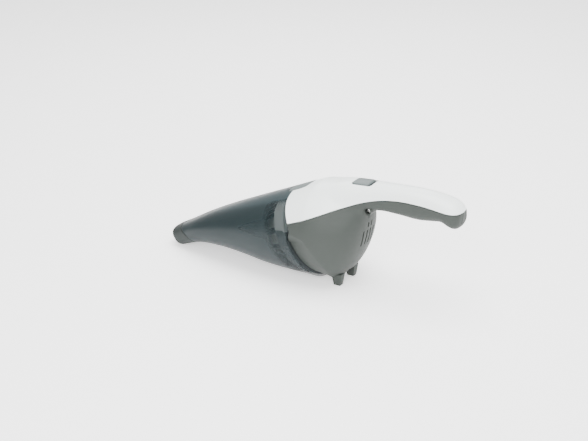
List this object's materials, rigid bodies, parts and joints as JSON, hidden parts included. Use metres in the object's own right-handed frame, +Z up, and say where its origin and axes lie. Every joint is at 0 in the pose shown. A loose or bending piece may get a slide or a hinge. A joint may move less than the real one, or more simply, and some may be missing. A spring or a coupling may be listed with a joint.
{
  "type": "cordless handheld vacuum",
  "caption": "Handheld vacuum with a smoked dust bowl on a sloped seam, cone filter, white top cover that runs into the handle, grey housing halves, slide switch and rear feet",
  "frame": {"origin": "on the supporting surface, under the middle of the overall length and width", "axes": "-X towards the nozzle, +X towards the end of the handle, +Z up, +Y towards the right half"},
  "size_m": [0.387, 0.1088, 0.1319],
  "materials": {
    "white_plastic": "smooth, faint moulded sheen",
    "grey_plastic": "satin",
    "pale_grey_plastic": "satin",
    "smoke_plastic": "clear smoke tint, polished",
    "dark_plastic": "satin",
    "rubber": "matt",
    "filter_cloth": "felted cloth",
    "steel": "plain",
    "brass": "plain",
    "board": "coated laminate",
    "cell_wrap": "shrink sleeve"
  },
  "bodies": {
    "housing": {"housing_left": "grey_plastic", "housing_right": "grey_plastic", "top_cover": "white_plastic", "intake_collar": "pale_grey_plastic", "intake_grille": "dark_plastic", "fan_shroud": "pale_grey_plastic", "motor_can": "steel", "motor_end_cap": "dark_plastic", "motor_mount_front": "rubber", "motor_mount_rear": "rubber", "motor_sleeve": "pale_grey_plastic", "battery_cell_1": "cell_wrap", "battery_cell_2": "cell_wrap", "cell_clip_left": "steel", "cell_clip_right": "steel", "circuit_board": "board", "micro_switch": "dark_plastic", "charge_bay": "dark_plastic", "charge_contact_left": "brass", "charge_contact_right": "brass", "screw_root": "steel", "latch_spring": "steel"},
    "bowl": {"dust_bowl": "smoke_plastic", "inlet_duct": "dark_plastic", "flap_pin": "steel"},
    "nozzle": {"nozzle": "grey_plastic"},
    "flap": {"flap": "rubber"},
    "filter": {"filter_frame": "pale_grey_plastic", "filter_cup": "filter_cloth", "filter_screen": "dark_plastic", "filter_seal": "rubber"},
    "latch": {"release_button": "pale_grey_plastic"},
    "slider": {"power_slider": "pale_grey_plastic"},
    "rotor": {"fan": "dark_plastic", "motor_shaft": "steel"}
  },
  "joints": [
    {"name": "bowl_slide", "type": "slide", "parent": "housing", "child": "bowl", "axis": [-1, 0, 0], "range_m": [0, 0.13]},
    {"name": "nozzle_extend", "type": "slide", "parent": "bowl", "child": "nozzle", "axis": [-0.9455, 0, -0.3257], "range_m": [0, 0.045]},
    {"name": "flap_swing", "type": "hinge", "parent": "bowl", "child": "flap", "pos_m": [-0.08643, 0, 0.06093], "axis": [0, -1, 0], "range_deg": [0, 25]},
    {"name": "filter_twist", "type": "hinge", "parent": "housing", "child": "filter", "pos_m": [-0.0006, 0, 0.06], "axis": [0.9187, 0, 0.395], "range_deg": [0, 20]},
    {"name": "fan_spin", "type": "hinge", "parent": "housing", "child": "rotor", "pos_m": [-0.0006, 0, 0.06], "axis": [0.9187, 0, 0.395], "continuous": true},
    {"name": "latch_press", "type": "slide", "parent": "housing", "child": "latch", "axis": [0, 0, -1], "range_m": [0, 0.0015], "stiffness_N_per_m": 900, "springref_m": -0.001, "deforming": ["latch_spring"]},
    {"name": "power_slide", "type": "slide", "parent": "housing", "child": "slider", "axis": [1, 0, 0], "range_m": [0, 0.0035]}
  ]
}
